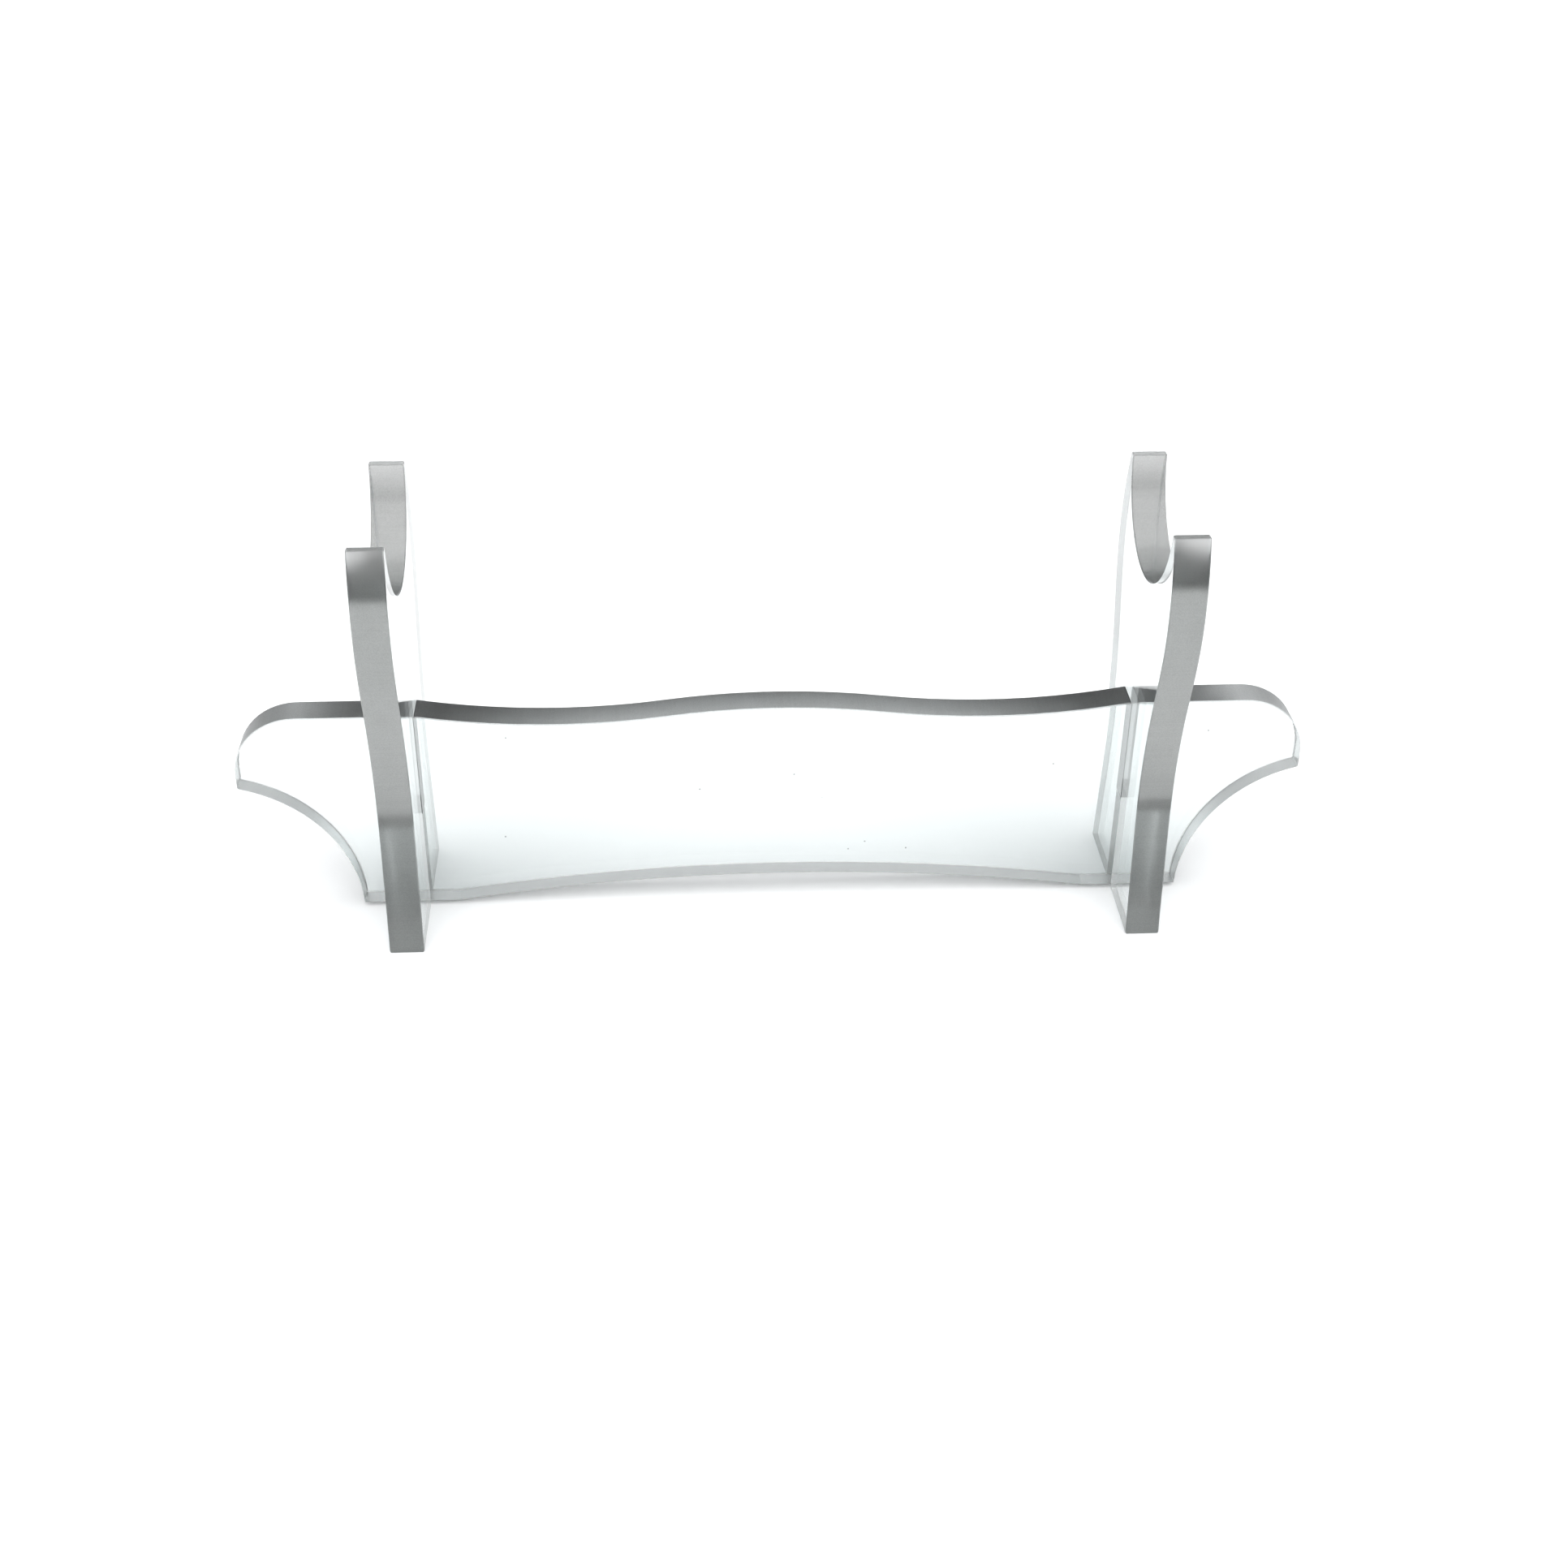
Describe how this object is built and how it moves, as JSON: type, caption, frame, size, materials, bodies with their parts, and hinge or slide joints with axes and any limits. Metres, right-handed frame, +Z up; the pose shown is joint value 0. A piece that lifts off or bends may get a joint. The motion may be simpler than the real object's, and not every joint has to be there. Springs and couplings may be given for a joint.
{
  "type": "display stand",
  "caption": "Clear slot-together tabletop display stand: horned uprights with round cradles, halved over a wave-topped cross board.",
  "frame": {"origin": "on the table, midway between the uprights and midway from front to back", "axes": "+X along the cross board to the right, +Y to the back, +Z up"},
  "size_m": [0.25, 0.0528, 0.104],
  "materials": {
    "clear_acrylic": "gloss"
  },
  "bodies": {
    "cross_board": {"cross_board": "clear_acrylic"},
    "left_upright": {"left_upright": "clear_acrylic"},
    "right_upright": {"right_upright": "clear_acrylic"}
  },
  "joints": [
    {"name": "left_upright_lift", "type": "slide", "parent": "cross_board", "child": "left_upright", "axis": [0, 0, 1], "range_m": [0, 0.06]},
    {"name": "right_upright_lift", "type": "slide", "parent": "cross_board", "child": "right_upright", "axis": [0, 0, 1], "range_m": [0, 0.06]}
  ]
}
